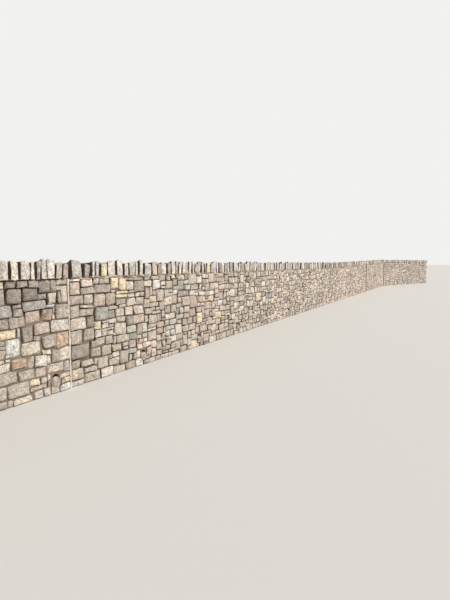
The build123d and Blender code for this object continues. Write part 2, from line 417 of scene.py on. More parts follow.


# %% [markdown]
# Near the camera the real stones can be told apart, so the larger and the more colourful ones
# on each side of the first joint are set one by one. Each is its left, foot, right and top in
# millimetres, from the joint and from the ground, under the colour that it has.

# %% Stones that are set in place
SET_STONES = {
    "warm grey": [
        (-1020, 80, -850, 205), (-705, 700, -650, 800), (-570, 95, -345, 160),
        (-545, 1215, -415, 1285), (-310, 1005, -175, 1145), (-195, 830, 0, 1005),
        (0, 805, 165, 965), (0, 965, 240, 1095), (155, 205, 370, 290), (175, 805, 405, 915),
        (180, 1095, 430, 1175), (200, 135, 420, 200), (240, 960, 400, 1085), (435, 130, 640, 285),
        (595, 425, 745, 530)],
    "pale grey": [
        (-860, 455, -780, 500), (-440, 160, -340, 225), (-265, 685, 0, 830), (-105, 205, 0, 350),
        (0, 0, 230, 65)],
    "buff": [
        (-590, 345, -505, 495), (-585, 818, -405, 965), (-340, 233, -105, 350),
        (-185, 1215, 0, 1285), (0, 65, 195, 205), (0, 1095, 180, 1250), (230, 0, 490, 105),
        (410, 935, 610, 1090), (505, 280, 710, 410), (505, 1205, 690, 1285), (625, 935, 800, 1095),
        (640, 120, 860, 230), (715, 300, 930, 395), (1940, 1060, 2130, 1185)],
    "cream": [
        (-1020, 370, -790, 455), (-1020, 1195, -825, 1285), (-850, 0, -780, 80),
        (-655, 495, -405, 645), (-405, 478, -265, 530), (-335, 362, -265, 478),
        (-155, 147, 0, 205), (-155, 350, 0, 518), (-115, 1005, 0, 1215), (0, 665, 270, 805),
        (405, 420, 595, 535), (800, 395, 1060, 505), (1010, 860, 1205, 990),
        (1970, 1210, 2090, 1285), (2650, 895, 2810, 1000)],
    "mid grey": [
        (-1020, 235, -700, 365), (-1020, 805, -790, 920), (-1020, 1045, -825, 1195),
        (-1000, 645, -840, 700), (-850, 80, -570, 230), (-700, 235, -490, 340),
        (-500, 645, -405, 700), (-425, 1080, -310, 1145), (-415, 1145, -275, 1285),
        (-405, 530, -205, 685), (-265, 350, -155, 500), (0, 205, 155, 315), (0, 500, 195, 660),
        (330, 290, 505, 405), (430, 1095, 700, 1205), (800, 915, 1000, 1000),
        (860, 110, 1060, 285)],
    # Six of these lie high up before the joint, just under the coping, where the face is darker
    "dark grey": [
        (-810, 1225, -685, 1285), (-800, 1045, -620, 1205), (-685, 1205, -545, 1285),
        (-650, 650, -500, 800), (-620, 1100, -425, 1205), (-275, 1160, -185, 1285),
        (-175, 1005, -115, 1160), (0, 320, 330, 490), (220, 510, 405, 665), (270, 705, 400, 785)],
    "blue grey": [
        (-1020, 920, -730, 1045), (-730, 920, -620, 1000), (-620, 965, -330, 1080),
        (405, 745, 655, 910), (2290, 1025, 2450, 1185)],
    "pinkish": [
        (-790, 818, -585, 920), (-730, 1000, -620, 1045), (-490, 225, -340, 330),
        (-480, 700, -265, 818), (180, 1175, 390, 1255), (1480, 315, 1690, 475),
        (1720, 895, 1910, 1075)],
    "brown": [(-385, 850, -240, 960)],
    "rust": [
        (-780, 365, -590, 495), (-205, 518, 0, 685), (1270, 320, 1380, 385),
        (1720, 395, 1890, 485), (1940, 110, 2080, 175)],
    "yellow": [
        (-1020, 700, -705, 800), (-570, 160, -440, 225), (-118, 90, 0, 147), (400, 635, 520, 735),
        (700, 1135, 875, 1255), (800, 1000, 1045, 1060), (800, 1060, 1055, 1110),
        (875, 1135, 1010, 1255), (2105, 1210, 2235, 1285), (2860, 415, 3065, 600),
        (3590, 895, 3705, 990), (5500, 620, 5755, 790)],
    "white": [
        (-505, 330, -335, 480), (-330, 960, -195, 1005), (2510, 1020, 2700, 1120)],
    "blue white": [(-840, 500, -655, 700)],
    "lime white": [(-165, 0, 0, 90)],
}
BAY_BEFORE_JOINT, BAY_AFTER_JOINT = 1, 2
POINTED_BAYS = (2, 3, 4)


def set_stones(bay, low, high, free):
    """The stones set in place in a bay, in units, with their colour names. They stop being free.
    They are taken from left to right, so that a new colour name changes no random draw."""
    beds, columns = free.shape
    shift = {BAY_BEFORE_JOINT: BAY_LENGTH, BAY_AFTER_JOINT: 0}.get(bay)
    in_order = sorted((size, name) for name, sizes in SET_STONES.items() for size in sizes)
    stones, names = [], []
    for (left, foot, right, top), name in in_order if shift is not None else ():
        if (left < 0) == (bay == BAY_BEFORE_JOINT):
            places = ((x / 1000 + shift - low) / (high - low) * columns for x in (left, right))
            first, last = (min(max(round(place), 0), columns) for place in places)
            below, above = (round(z / 1000 / WALL_HEIGHT * beds) for z in (foot, top))
            free[below:above, first:last] = False
            stones.append([first, below, last, above])
            names.append(name)
    return stones, names


# %% [markdown]
# The stone is a pale carboniferous limestone with some sandstone among it. Most faces are a
# warm grey or buff, a few are blue grey, brown or pinkish, and here and there one is yellow or
# rusty. A stone keeps one colour, so it is chosen per stone from this small chart, by weight.
# Two of the colours have no weight, and only stones that are set in place have them.

# %% The chart of stone colours
STONE_CHART = {
    # colour, then its weight among the face stones and among the coping stones
    "warm grey": ("#BCAFA2", 30, 8),
    "pale grey": ("#CBC1B5", 20, 26),
    "buff": ("#C4B5A3", 22, 4),
    "cream": ("#D5C8B6", 9, 14),
    "mid grey": ("#AFA497", 9, 6),
    "blue grey": ("#B0ABA0", 4, 9),
    "blue white": ("#CCC7BE", 1, 14),
    "pinkish": ("#C8B6A7", 6, 2),
    "brown": ("#B09C89", 2, 1),
    "rust": ("#C8AF96", 0.6, 0),
    "yellow": ("#E4D2B1", 0.5, 2),
    "white": ("#DCD4CA", 2.5, 14),
    "lime white": ("#F4EDE4", 0, 0),
    "dark grey": ("#978D82", 0, 0),
}
FACE_SHARE, COPING_SHARE = 1, 2
TINT_SPREAD = 0.10
WIDER_EACH_BAY = 0.03
PALER_EACH_BAY = np.array((0.094, 0.082, 0.079))
STEPS_PALER = (0.5, 1, 2, 3, 3, 4)
# Painted light: the bent bay turns away from the lamp, so its stones are painted paler
BENT_BAY_PAINTED_LIGHT = np.array((1.07, 1.11, 1.16))
PALEST = 0.78


def tints(names, bay, dice):
    """Linear colours for chart names, each stone a little lighter or darker than the chart.
    With each step of STEPS_PALER a bay's stones are paler and more mixed than the chart, and
    the bent bay's are paler again, as painted light for a face turned from the lamp. No channel
    is let past PALEST."""
    chart = np.array([linear(STONE_CHART[name][0])[:3] for name in names])
    steps = STEPS_PALER[bay - BAYS[0]]
    spread = TINT_SPREAD + WIDER_EACH_BAY * steps
    paler = (1 + PALER_EACH_BAY * steps) * (BENT_BAY_PAINTED_LIGHT if bay == BENT_BAY else 1)
    made = chart * paler * (1 + spread * dice.standard_normal((len(names), 1)))
    return made * np.minimum(PALEST / made.max(axis=1, keepdims=True), 1)


def random_names(count, dice, share):
    """Chart names drawn by their weights in one column of the chart."""
    names = list(STONE_CHART)
    weights = np.array([STONE_CHART[name][share] for name in names], float)
    return list(dice.choice(names, count, p=weights / weights.sum()))


# %% [markdown]
# A squared rubble stone has a flat, roughly split face and edges knocked round. It is made as
# an 8 by 8 grid of points over its rectangle. The outermost ring of points is sunk into the
# mortar, the next two, edge and shoulder, round off the face, and the inner ones carry it.
# Each corner is pulled in by its own amount, as a square bends towards a circle, and now and
# then a lot, which keeps every stone from looking sawn. Last, all points are moved by the same
# slow wander, so that beds and upright joints curve and lean and still fit each other.

# %% Face stones
OUTERMOST, EDGE, SHOULDER, FLAT = 1, 0.97, 0.86, 0.60
GRID = np.array([-OUTERMOST, -EDGE, -SHOULDER, -FLAT, FLAT, SHOULDER, EDGE, OUTERMOST])
RING_SUNK = {OUTERMOST: 0.050, EDGE: 0.009, SHOULDER: 0.0025}
EDGE_WOBBLE = 0.0030
CORNER_PULL = (0.03, 0.22)
KNOCKED_OFF = (0.10, 0.45)
LIFT_SPREAD = 0.0056
LEAN_SPREAD = 0.0046
CROWN = 0.05
FACE_ROUGH = 0.0034
FURTHEST_OUT, FURTHEST_IN = 0.013, -0.014
RIM_WIDTH = 0.32
# Painted shade on a stone's edge ring, as rim past 1; the sides sunk in the joint get a whole 1
PAINTED_SHADE_ON_EDGE = 0.16


def face_stones(corners, names, bay, dice, moved):
    """Closed stones as (along, out, z) points. corners are (N, 4, 2): low left, low right,
    high right, high left. A grid place (a, b) goes to a sqrt(1 - k b b / 2), the same with a
    and b changed over, and from there by even shares between the four corners."""
    count = len(corners)
    a, b = np.meshgrid(GRID, GRID)
    ring = np.maximum(abs(a), abs(b))
    pull = dice.uniform(*CORNER_PULL, (count, 4))
    pull = pull + KNOCKED_OFF[1] * (dice.random((count, 4)) < KNOCKED_OFF[0])
    k = sum(share / 4 * pull[:, i, None, None] for i, share in enumerate(corner_shares(a, b)))
    p = a * np.sqrt(1 - k * b * b / 2)
    q = b * np.sqrt(1 - k * a * a / 2)
    flat = sum(share[..., None] / 4 * corners[:, i, None, None]
               for i, share in enumerate(corner_shares(p, q)))
    flat = moved(flat + dice.normal(0, EDGE_WOBBLE, flat.shape))

    size = (corners[:, 2] - corners[:, 0]).min(axis=1)[:, None, None]
    lift = dice.normal(0, LIFT_SPREAD, (count, 1, 1))
    lean = sum(dice.normal(0, LEAN_SPREAD, (count, 1, 1)) * way for way in (a, b))
    crown = size * dice.uniform(0, CROWN, (count, 1, 1)) * (1 - a * a) * (1 - b * b)
    rough = dice.normal(0, FACE_ROUGH, (count,) + a.shape) * (ring < EDGE)
    sunk = sum(depth * (ring == place) for place, depth in RING_SUNK.items())
    out = np.clip(lift + lean + crown + rough, FURTHEST_IN, FURTHEST_OUT) - sunk

    points = np.stack([flat[..., 0], out, flat[..., 1]], axis=-1)
    ids = np.arange(a.size).reshape(a.shape)
    rim_ids = np.concatenate([ids[0, :-1], ids[:-1, -1], ids[-1, :0:-1], ids[:0:-1, 0]])
    faces = [repeated(sheet_faces(*a.shape), count, a.size),
             repeated(rim_ids[None, ::-1], count, a.size)]
    tint = tints(names, bay, dice)[:, None, None, :]
    rim = np.clip((ring - FLAT) / RIM_WIDTH, 0, 1)
    # Past 1 the rim is painted shade: a little on the edge ring, all of it on the sunk sides.
    rim = rim + PAINTED_SHADE_ON_EDGE * (ring == EDGE) + (ring == OUTERMOST)
    return points, faces, tint, np.broadcast_to(rim, out.shape)


def corner_shares(a, b):
    """Four times the share of each corner at a place from -1 to 1 along and up."""
    return [(1 - a) * (1 - b), (1 + a) * (1 - b), (1 + a) * (1 + b), (1 - a) * (1 + b)]


# %% [markdown]
# The weep pipes stand at one even pitch along the whole wall. Near each of them the rubble
# leaves a square of packed mortar for the pipe's mouth.

# %% Places of the weep pipes
WEEP_FIRST = 1.631
WEEP_PITCH = 1.600
WEEPS_ENOUGH = 40
WEEP_HEIGHT = 0.170
WEEP_ROOM = 0.126
PIPE_RADIUS = 0.055
JOINT_CLEAR = 0.2


def weeps(bay):
    """Distances u of the bay's weep pipes, out of a row that is more than long enough. None
    stands close to a joint."""
    along = WEEP_FIRST + WEEP_PITCH * np.arange(WEEPS_ENOUGH) - (bay - 1) * BAY_LENGTH
    return along[(along > JOINT_CLEAR) & (along < BAY_LENGTH - JOINT_CLEAR)]


print("weep pipes of bay 1 at", weeps(1).round(3))


# %% [markdown]
# Several shapes to come are slabs with a worked front and a plain back. They could be given
# their thickness by a modifier, but the two sides lie at different depths, so both sheets are
# worked out and then joined along every edge that is open.

# %% Closed solids from two sheets
def closed_between(front, back, quads):
    """A closed solid from two sheets with the same quads: the front sheet as it is, the back
    one turned over, and a side for each edge that only one front face uses."""
    used, quads = np.unique(quads, return_inverse=True)
    quads = quads.reshape(-1, 4)
    count = len(used)
    edges = np.stack([quads, np.roll(quads, -1, axis=1)], axis=-1).reshape(-1, 2)
    forward, backward = edges @ [count, 1], edges @ [1, count]
    rim = edges[~np.isin(forward, backward)]
    sides = np.column_stack([rim[:, 1], rim[:, 0], rim[:, 0] + count, rim[:, 1] + count])
    points = np.concatenate([front.reshape(-1, 3)[used], back.reshape(-1, 3)[used]])
    return points, [quads, quads[:, ::-1] + count, sides]


# %% [markdown]
# Mortar is the grey-brown body that the stones sit in. It is one closed slab as thick as the
# leaf, with its front a little behind the stones. Its grid is ruled so that a square ring of
# points stands round each weep pipe. That ring is moved out to a circle and the cells inside
# it are left out, which makes a round hole with no extra points and no cutting.

# %% The mortar slab of a bay
LIMESTONE, MORTAR = 0, 1
MORTAR_COLOUR = "#8A7B6B"
MORTAR_DEPTH = 0.0165
MORTAR_UNEVEN = 0.007
MORTAR_WANDER = (0.31, 6)
MORTAR_CELL = 0.055
HOLE_RADIUS = PIPE_RADIUS - 0.0025
HOLE_LINES = np.array([-0.085, -0.045, -0.0225, 0, 0.0225, 0.045, 0.085])
HOLE_RING = 0.045
MOUTH_DEPTH = 0.012
RAKED_PLACE = (5.95, 1.12)
RAKED_REACH = (0.62, 0.24)
RAKED_DEPTH = 0.030
DEEPER_PAST_JOINT = 0.0115
TINY = 1e-6


def ruled(low, high, centres):
    """Grid lines from low to high, with the lines of a hole round each centre."""
    holes = np.concatenate([centre + HOLE_LINES for centre in centres])
    stops = np.concatenate([[low], holes, [high]])
    lines = [np.linspace(a, b, max(1, round((b - a) / MORTAR_CELL)), endpoint=False)
             for a, b in zip(stops[:-1], stops[1:])]
    return np.append(np.concatenate(lines), high)


def raked(s, z):
    """Depth of the mortar's front: uneven all over, raked out in one bell-shaped place, and
    a little deeper past the first joint."""
    away = sum(((place - middle) / reach) ** 2
               for place, middle, reach in zip((s, z), RAKED_PLACE, RAKED_REACH))
    usual = MORTAR_DEPTH + DEEPER_PAST_JOINT * (s > BAY_LENGTH)
    return usual + MORTAR_UNEVEN * wander(s, z, *MORTAR_WANDER) + RAKED_DEPTH * np.exp(-away)


def raised(bay, u, z):
    """Heights of a level elevation, stretched above the weep holes to meet the wall's top,
    and never under the ground."""
    foot = WEEP_HEIGHT + HOLE_LINES[-1]
    grown = foot + (z - foot) * (top_at(bay, u) - foot) / (WALL_HEIGHT - foot)
    return np.where(z > foot, grown, np.maximum(z, 0))


def mortar_slab(bay):
    """The slab between two sheets. Ring points go to the circle along their own direction.
    At the ring the front comes forward to the pipe's mouth, and at twice the ring it is back
    at its usual depth."""
    u, z = np.meshgrid(ruled(0, BAY_LENGTH, weeps(bay)), ruled(0, WALL_HEIGHT, [WEEP_HEIGHT]))
    nearest = weeps(bay)[np.argmin(abs(u[..., None] - weeps(bay)), axis=-1)]
    du, dz = u - nearest, z - WEEP_HEIGHT
    square = np.maximum(abs(du), abs(dz))
    on_ring = abs(square - HOLE_RING) < TINY
    grow = np.where(on_ring, HOLE_RADIUS / np.maximum(np.hypot(du, dz), TINY), 1)
    u, z = nearest + du * grow, WEEP_HEIGHT + dz * grow

    depth = raked(u + (bay - 1) * BAY_LENGTH, z)
    near_pipe = np.clip(2 - square / HOLE_RING, 0, 1)
    depth = depth + (MOUTH_DEPTH - depth) * near_pipe
    sheets = []
    for v in (FACE + depth, np.full_like(u, LEAF_BACK)):
        ends = u.copy()
        ends[:, 0] = bay_start(bay, v[:, 0], JOINT_WIDTH, MORTAR_DEPTH)
        ends[:, -1] = bay_end(bay, v[:, -1], JOINT_WIDTH, MORTAR_DEPTH)
        sheets.append(placed(bay, ends, v, raised(bay, ends, z)))

    quads = sheet_faces(*u.shape)
    inside = (square < HOLE_RING - TINY).ravel()
    points, faces = closed_between(*sheets, quads[~inside[quads].any(axis=1)])
    return patch(points, faces, MORTAR, linear(MORTAR_COLOUR)[:3])


# %% [markdown]
# Now the stones of a bay's face. Each stone gives up half a mortar joint on every side, by a
# different amount at each corner, so that no two joints are alike. The wander fades out near
# the bay's ends, the ground, the coping and the weep pipes, where the real stones fit closely.
# The last two bays begin a little proud of the bay before. That step, in its own shade and in
# the painted shade of the near-black bead drawn over it, shows as a dark line from afar. Every
# random draw has a seed of its own, to which the bay's number is added.

# %% Stones of a bay's face
UPRIGHT_WANDER = ((0.62, 0.013, 11), (0.27, 0.006, 13), (0.17, 0.0050, 15))
BED_WANDER = ((0.75, 0.011, 12), (0.31, 0.005, 14), (0.20, 0.0045, 16))
HALF_JOINT = (0.0022, 0.0066)
STRAIGHT_WITHIN = 0.15
STRAIGHT_ROUND_PIPE = 0.6
FREE_ENDS = (BAYS[0], BAYS[-1])
BEDS = round(WALL_HEIGHT / UNIT)
BEAD_SHOWS = 0.008
PROUD_BAYS = (5, 6)
PROUD_START = 0.022
PROUD_REACH = 0.45
RUBBLE_SEED, CHINK_SEED, FACE_SEED = 100, 150, 200


def wandering(bay, low, high):
    """The function that moves a bay's elevation points. Each direction adds three wanders,
    given as wavelength, height and seed, times a fade from 0 at the edges to 1 further in."""
    def moved(flat):
        u, z = flat[..., 0], flat[..., 1]
        s = u + (bay - 1) * BAY_LENGTH
        fade = np.clip(np.minimum(u - low, high - u) / STRAIGHT_WITHIN, 0, 1)
        fade = fade * np.clip(np.minimum(z, WALL_HEIGHT - z) / STRAIGHT_WITHIN, 0, 1)
        for w in weeps(bay):
            from_pipe = np.hypot(u - w, z - WEEP_HEIGHT) / STRAIGHT_WITHIN
            fade = fade * np.clip(from_pipe - STRAIGHT_ROUND_PIPE, 0, 1)
        moves = [sum(height * wander(s, z, length, seed) for length, height, seed in waves)
                 for waves in (UPRIGHT_WANDER, BED_WANDER)]
        return np.stack([u + fade * moves[0], z + fade * moves[1]], axis=-1)
    return moved


def elevation_corners(rows, low, high, columns):
    """Corner places (u, z) of stones given in units."""
    rows = np.array(rows, float)
    u = low + rows[:, [0, 2, 2, 0]] * (high - low) / columns
    z = rows[:, [1, 1, 3, 3]] * WALL_HEIGHT / BEDS
    return np.stack([u, z], axis=-1)


def with_joints(corners, dice):
    """Pull every corner in by half a joint, with its own amount along and up."""
    inward = np.array([(1, 1), (-1, 1), (-1, -1), (1, -1)])
    return corners + inward * dice.uniform(*HALF_JOINT, corners.shape)


def free_units(bay, low, high, columns):
    """Which units of a face are free for rubble: all but the squares round the weep pipes."""
    free = np.ones((BEDS, columns), bool)
    for w in weeps(bay):
        left = round((w - WEEP_ROOM / 2 - low) / (high - low) * columns)
        foot = round((WEEP_HEIGHT - WEEP_ROOM / 2) / UNIT)
        room = round(WEEP_ROOM / UNIT)
        free[foot:foot + room, left:left + room] = False
    return free


def facing(bay):
    """The stones and the mortar of one bay's face."""
    low, high = bay_start(bay, FACE, BEAD_SHOWS), bay_end(bay, FACE, BEAD_SHOWS)
    columns = round((high - low) / UNIT)
    free = free_units(bay, low, high, columns)
    for low_bed, high_bed, on_face, *_ in quoin_courses(bay) if bay in FREE_ENDS else ():
        at = slice(0, on_face) if bay == BAYS[0] else slice(columns - on_face, columns)
        free[low_bed:high_bed, at] = False
    rows, names = set_stones(bay, low, high, free)
    laid, chinks = lay_rubble(free, random.Random(RUBBLE_SEED + bay))
    rows = rows + laid
    close_chinks(rows, chinks, random.Random(CHINK_SEED + bay))
    dice = np.random.default_rng(FACE_SEED + bay)
    corners = with_joints(elevation_corners(rows, low, high, columns), dice)
    names = names + random_names(len(laid), dice, FACE_SHARE)
    points, faces, tint, rim = face_stones(corners, names, bay, dice, wandering(bay, low, high))
    along, out, z = np.moveaxis(points, -1, 0)
    if bay in PROUD_BAYS:
        out = out + PROUD_START * np.clip(1 - along / PROUD_REACH, 0, 1)
    points = placed(bay, along, FACE - out, raised(bay, along, z))
    return [patch(points, faces, LIMESTONE, tint, rim), mortar_slab(bay)]


# %% [markdown]
# Coping stones and corner stones show more than one side, so they are whole blocks. Each is
# a solid of rings: the rings have the outline of the stone's elevation with its corners
# rounded, and they run from a point in the front face to a point in the back face. Towards
# the front and the back each ring is set in by some millimetres more, which rounds the edges.
# An outline that is neither a box nor an ellipse comes from a sine and a cosine to a power.

# %% Block stones
OUTLINE_SIDES = 12
OUTLINE_POWER = 0.20
INNERMOST = 0.60
BLOCK_RINGS = [
    # share of the way back, metres beyond that, size of the outline, metres set in, painted shade
    (0, 0.000, INNERMOST, 0.000, 0.0), (0, 0.003, 1.00, 0.008, 0.4),
    (0, 0.014, 1.00, 0.005, 0.9), (0, 0.075, 1.00, 0.002, 0.9), (0.5, 0.000, 1.00, 0.000, 0.3),
    (1, -0.013, 1.00, 0.001, 0.0), (1, -0.003, 1.00, 0.007, 0.0),
    (1, 0.000, INNERMOST, 0.000, 0.0),
]
BLOCK_ROUGH = 0.0030
FRONT_LEAN = 0.0050
SIDE_PAST = 0.9
BLOCK_RIM = 0.6


def rounded_box(power):
    """Places round a box from -1 to 1: the cosine and the sine of an even row of angles, each
    to the power with its sign kept. The smaller the power, the squarer the box."""
    t = 2 * math.pi * np.arange(OUTLINE_SIDES) / OUTLINE_SIDES
    return [np.sign(w) * abs(w) ** power for w in (np.cos(t).round(9), np.sin(t).round(9))]


def block_stones(corners, front, back, tint, dice, side_painted_shade=0.0, set_in=1.0):
    """Closed blocks as (u, v, z) points. A ring point has a place (a, b) on the outline, times
    the ring's size, less what the ring is set in, and shares out the four corners by it. v
    runs from front to back by the ring's share, and the front leans a little to one side and
    up or down."""
    a, b = rounded_box(OUTLINE_POWER)
    rings = np.array(BLOCK_RINGS)
    a, b = (np.concatenate([[0], np.tile(w, len(rings)), [0]]) for w in (a, b))
    way, beyond, size, inset, painted_shade = np.concatenate(
        [rings[:1], np.repeat(rings, OUTLINE_SIDES, axis=0), rings[-1:]]).T
    half = (corners[:, 2] - corners[:, 0]).T[..., None] / 2
    p, q = (w * size * (1 - set_in * inset / reach) for w, reach in zip((a, b), half))
    flat = sum(share[..., None] / 4 * corners[:, i, None]
               for i, share in enumerate(corner_shares(p, q)))
    v = front[:, None] * (1 - way) + back[:, None] * way + beyond
    in_front = way < 0.5
    v = v + sum(dice.normal(0, FRONT_LEAN, (len(corners), 1)) * side * in_front for side in (p, q))
    points = np.stack([flat[..., 0], v, flat[..., 1]], axis=-1)
    points = points + dice.normal(0, BLOCK_ROUGH, points.shape)
    faces = [repeated(rows, len(corners), len(a)) for rows in
             ring_faces(len(BLOCK_RINGS), OUTLINE_SIDES)]
    # Painted shade on the left and right sides: each ring's share of it times the side amount.
    rim = BLOCK_RIM * (size > INNERMOST) + side_painted_shade * painted_shade * (abs(a) > SIDE_PAST)
    return points, faces, tint[:, None, :], np.broadcast_to(rim, v.shape)


# %% [markdown]
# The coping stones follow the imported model, which draws their widths, tops and leans by the
# same rules and the same seed. The stones on each side of the first joint were measured, and
# have the chart's colours that come nearest to their own. Behind the front a top falls away by
# a few centimetres, as it does on a stone that was split and not sawn. At the bend the end
# stones are cut to the joint's plane, which here is simply a limit on u that depends on v.

# %% Coping stones in a row
COPING_HEIGHT = 0.190
COPING_HEIGHT_SPREAD = 0.026
COPING_TOP_OFFSET = 0.011
COPING_STONE_WIDTH = 0.099
COPING_WIDTH_SPREAD = 0.044
COPING_WIDTH_MODE = -0.3
COPING_LEAN = 0.007
COPING_STONE_GAP = 0.020
COPING_OVERHANG = 0.020
COPING_FACE_SPREAD = 0.008
COPING_JOINT_GAP = 0.050
COPING_END_OVERHANG = 0.025
COPING_SEED = 41
COPING_BED = 0.012
TOP_FALL = (0.010, 0.045)
TOP_FALL_WITHIN = 0.08
# How strongly the coping stones' sides are painted dark: painted shade in the gaps
SIDE_PAINTED_SHADE = 1.3
COPING_PALER = 1.05
FRONT_SPREAD = 0.016
FOOT_DROP = 0.010
SET_BACK = 0.006
SET_IN, TAIL_SET_IN, LEAD_SET_IN = 0.80, 0.20, 1.00
COPING_COLOUR_SEED, COPING_FOOT_SEED = 400, 450
# Pitch, how far the left and right corners of the top stand off the usual height, in mm, and
# the colour
MEASURED_TAIL = [
    (115, 8, -13, "pale grey"), (120, 4, -12, "cream"), (130, -2, -2, "pale grey"),
    (70, -12, -12, "cream"), (60, -1, 4, "blue grey"), (90, 31, 21, "pale grey"),
    (105, 32, 16, "white"), (105, -39, -5, "cream"), (75, -39, -28, "pinkish"),
]
MEASURED_LEAD = [
    (195, 30, 13, "blue grey"), (110, -14, -46, "mid grey"), (90, 8, 3, "white"),
    (90, 9, 5, "white"), (140, -22, -22, "yellow"), (160, 16, 26, "pale grey"),
    (135, 30, 18, "pale grey"), (110, -22, -22, "warm grey"), (135, -8, 6, "blue grey"),
    (95, 13, 13, "pale grey"), (120, 34, 35, "blue white"), (175, -7, -43, "blue white"),
    (140, 0, 8, "cream"), (95, -36, -21, "warm grey"), (150, 4, -36, "white"),
    (115, -24, -24, "blue grey"), (115, 18, 18, "pale grey"),
]


def random_copings(length, dice, colours):
    """Stones of random width and top that fill a length of coping exactly."""
    stones, filled = [], 0
    while filled < length:
        wider = dice.triangular(-1, 1, COPING_WIDTH_MODE)
        width = COPING_STONE_WIDTH + COPING_WIDTH_SPREAD * wider
        lift = dice.uniform(-1, 1) * COPING_HEIGHT_SPREAD
        slant = dice.uniform(-1, 1) * COPING_TOP_OFFSET
        stones.append((width + COPING_STONE_GAP, lift - slant, lift + slant))
        filled += width + COPING_STONE_GAP
    names = random_names(len(stones), colours, COPING_SHARE)
    return [(pitch * length / filled, left, right, name)
            for (pitch, left, right), name in zip(stones, names)]


def coping_row(bay, length, reach, dice, colours):
    """The bay's coping stones in order: measured ones at the first joint, random elsewhere."""
    usual = COPING_STONE_WIDTH + COPING_STONE_GAP
    skews = [2 * reach * BEND_LEAN if bay == cut else 0 for cut in (BENT_BAY, BENT_BAY - 1)]
    lead, tail = [[(usual + skew, 0, 0, "pale grey")] for skew in skews]
    metres = [[(p / 1000, a / 1000, b / 1000, name) for p, a, b, name in row]
              for row in (MEASURED_LEAD, MEASURED_TAIL)]
    lead = metres[0] if bay == BAY_AFTER_JOINT else lead
    tail = metres[1] if bay == BAY_BEFORE_JOINT else tail
    placed_length = sum(stone[0] for stone in lead + tail)
    return lead + random_copings(length - placed_length, dice, colours) + tail


def set_in_by(bay, count):
    """Shares of the full set-in of the edges: least for the measured stones before the joint,
    which stand closest together, and all of it for those past it."""
    shares = np.full(count, SET_IN)
    if bay == BAY_BEFORE_JOINT:
        shares[-len(MEASURED_TAIL):] = TAIL_SET_IN
    if bay == BAY_AFTER_JOINT:
        shares[:len(MEASURED_LEAD)] = LEAD_SET_IN
    return shares


def coping_ends(bay, v):
    """u of the planes in which the bay's coping begins and ends."""
    return [end(bay, v, COPING_JOINT_GAP, -COPING_END_OVERHANG) for end in (bay_start, bay_end)]


def coping_reach(bay):
    """Where the bay's coping begins and ends at its longest side, and half its thickness."""
    reach = BACK + COPING_OVERHANG + COPING_FACE_SPREAD
    starts, stops = zip(*(coping_ends(bay, v) for v in (-reach, reach)))
    return min(starts), max(stops), reach


def coping_stones(bay):
    """All coping stones of a bay. A stone's right side leans as the left side of the next one
    does. Behind the face the top falls away by up to a few centimetres, times the square of
    how high up a point is."""
    dice = random.Random(COPING_SEED + bay)
    colours = np.random.default_rng(COPING_COLOUR_SEED + bay)
    low, high, reach = coping_reach(bay)
    row = coping_row(bay, high - low, reach, dice, colours)
    corners, fronts, line, lean = [], [], low, 0
    for i, (pitch, left_lift, right_lift, _) in enumerate(row):
        last = i == len(row) - 1
        left = line + (COPING_STONE_GAP / 2 if i else 0)
        right = line + pitch - (0 if last else COPING_STONE_GAP / 2)
        next_lean = 0 if last else dice.uniform(-COPING_LEAN, COPING_LEAN)
        fronts.append(dice.uniform(-1, 1))
        feet = [top_at(bay, u) + COPING_BED for u in (left, right)]
        corners.append([(left, feet[0]), (right, feet[1]),
                        (right + next_lean, feet[1] + COPING_HEIGHT + right_lift),
                        (left + lean, feet[0] + COPING_HEIGHT + left_lift)])
        line, lean = line + pitch, next_lean
    corners = np.array(corners)
    feet_dice = np.random.default_rng(COPING_FOOT_SEED + bay)
    corners[:, :2, 1] -= feet_dice.uniform(0, FOOT_DROP, (len(row), 2))
    backs = np.full(len(row), BACK + COPING_OVERHANG)
    tint = COPING_PALER * tints([stone[3] for stone in row], bay, colours)
    set_in = set_in_by(bay, len(row))
    set_back = SET_BACK if bay in POINTED_BAYS else 0
    fronts = FACE - COPING_OVERHANG + set_back + FRONT_SPREAD * np.sqrt(set_in) * fronts
    points, faces, tint, rim = block_stones(corners, fronts, backs, tint, colours,
                                            SIDE_PAINTED_SHADE, set_in[:, None])
    u, v, z = np.moveaxis(points, -1, 0)
    rim = np.where((u < 0) | (u > BAY_LENGTH), 0, rim)
    share = np.clip((v - FACE) / TOP_FALL_WITHIN, 0, 1)
    high_up = np.clip((z - top_at(bay, u) - COPING_BED) / COPING_HEIGHT, 0, 1)
    tallest = np.array([[max(left, right, 0)] for _, left, right, _ in row])
    fall = colours.uniform(*TOP_FALL, (len(row), 1)) + tallest
    z = z - fall * share * high_up ** 2
    points = placed(bay, np.clip(u, *coping_ends(bay, v)), v, z)
    return patch(points, faces, LIMESTONE, tint, rim)


# %% [markdown]
# The mortar under and between the coping stones is one long loaf, lower than the stones. Its
# cross section is a rounded box carried along the bay. Higher up it lies deep between the
# stones, so that the gaps are dark. At their feet it is raked back, but in bays 2 to 4 it was
# pressed out nearly to their faces and down over the top of the rubble, which fills the shade
# under the overhang with an uneven pale line.

# %% Coping mortar
BED_RECESS = 0.034
POINTED_BED_RECESS = 0.009
POINTING_UNEVEN = 0.006
POINTING_DROP = 0.024
POINTING_COLOUR = "#BFB0A1"
GAP_RECESS = 0.085
BED_DROP = 0.066
BED_STATIONS = 160
BED_POWER = 0.14
BED_FOOT = -0.9
BED_ROUGH = 0.005
BED_TOP_WANDER, BED_FRONT_WANDER = (0.13, 21), (0.11, 22)
POINTING_WANDER, DROP_WANDER = (0.17, 23), (0.13, 24)
USUAL_DROP = 0.4


